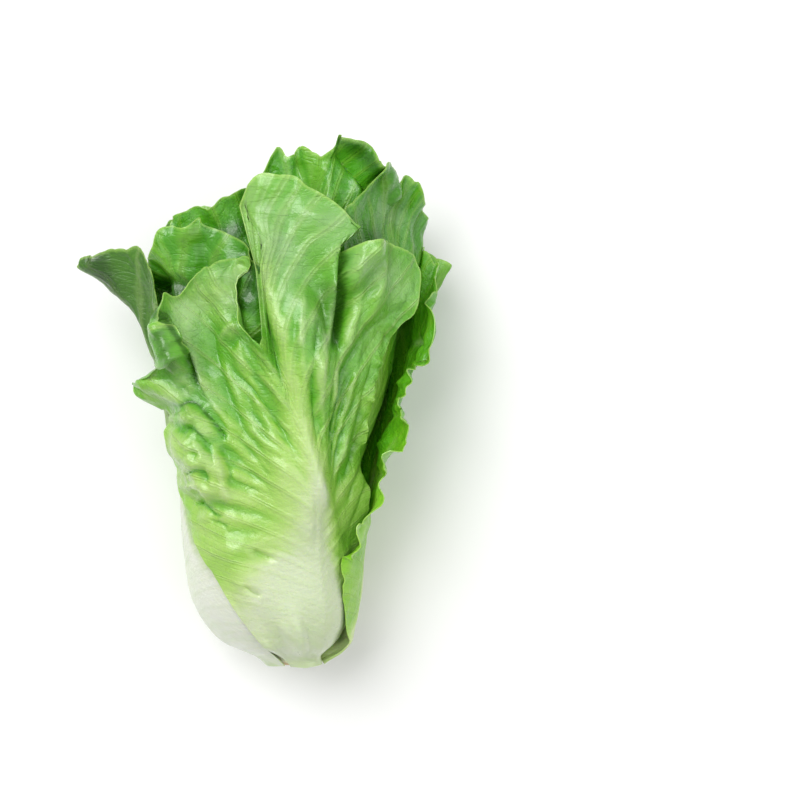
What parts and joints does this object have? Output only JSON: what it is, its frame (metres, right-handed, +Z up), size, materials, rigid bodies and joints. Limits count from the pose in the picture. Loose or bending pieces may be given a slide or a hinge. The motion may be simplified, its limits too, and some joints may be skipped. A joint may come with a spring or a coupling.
{
  "type": "green leaf lettuce",
  "caption": "Cut head of green leaf lettuce lying on its side, with pale ribs and ruffled green leaves nested round a short stem.",
  "frame": {"origin": "middle of the footprint box, on the surface that the head lies on", "axes": "+Y along the head from the cut stem to the leaf tips, +Z up, +X to the right as seen from above with the tips at the top"},
  "size_m": [0.174, 0.2636, 0.1056],
  "materials": {
    "outer_leaf": "glossy green blade with a pale rib",
    "second_leaf": "glossy fresh green blade",
    "inner_leaf": "glossy light green blade",
    "heart_leaf": "glossy yellow-green blade",
    "stem": "moist cut stem"
  },
  "bodies": {
    "root": {"leaf_front": "outer_leaf", "leaf_left": "outer_leaf", "leaf_right": "outer_leaf", "leaf_under": "outer_leaf", "leaf_back_left": "second_leaf", "leaf_back_right": "second_leaf", "leaf_top": "second_leaf", "leaf_low_left": "second_leaf", "leaf_low_right": "second_leaf", "leaf_inner_left": "inner_leaf", "leaf_inner_right": "inner_leaf", "leaf_inner_under": "inner_leaf", "leaf_heart_outer": "heart_leaf", "leaf_heart_inner": "heart_leaf", "stem": "stem"}
  },
  "joints": []
}
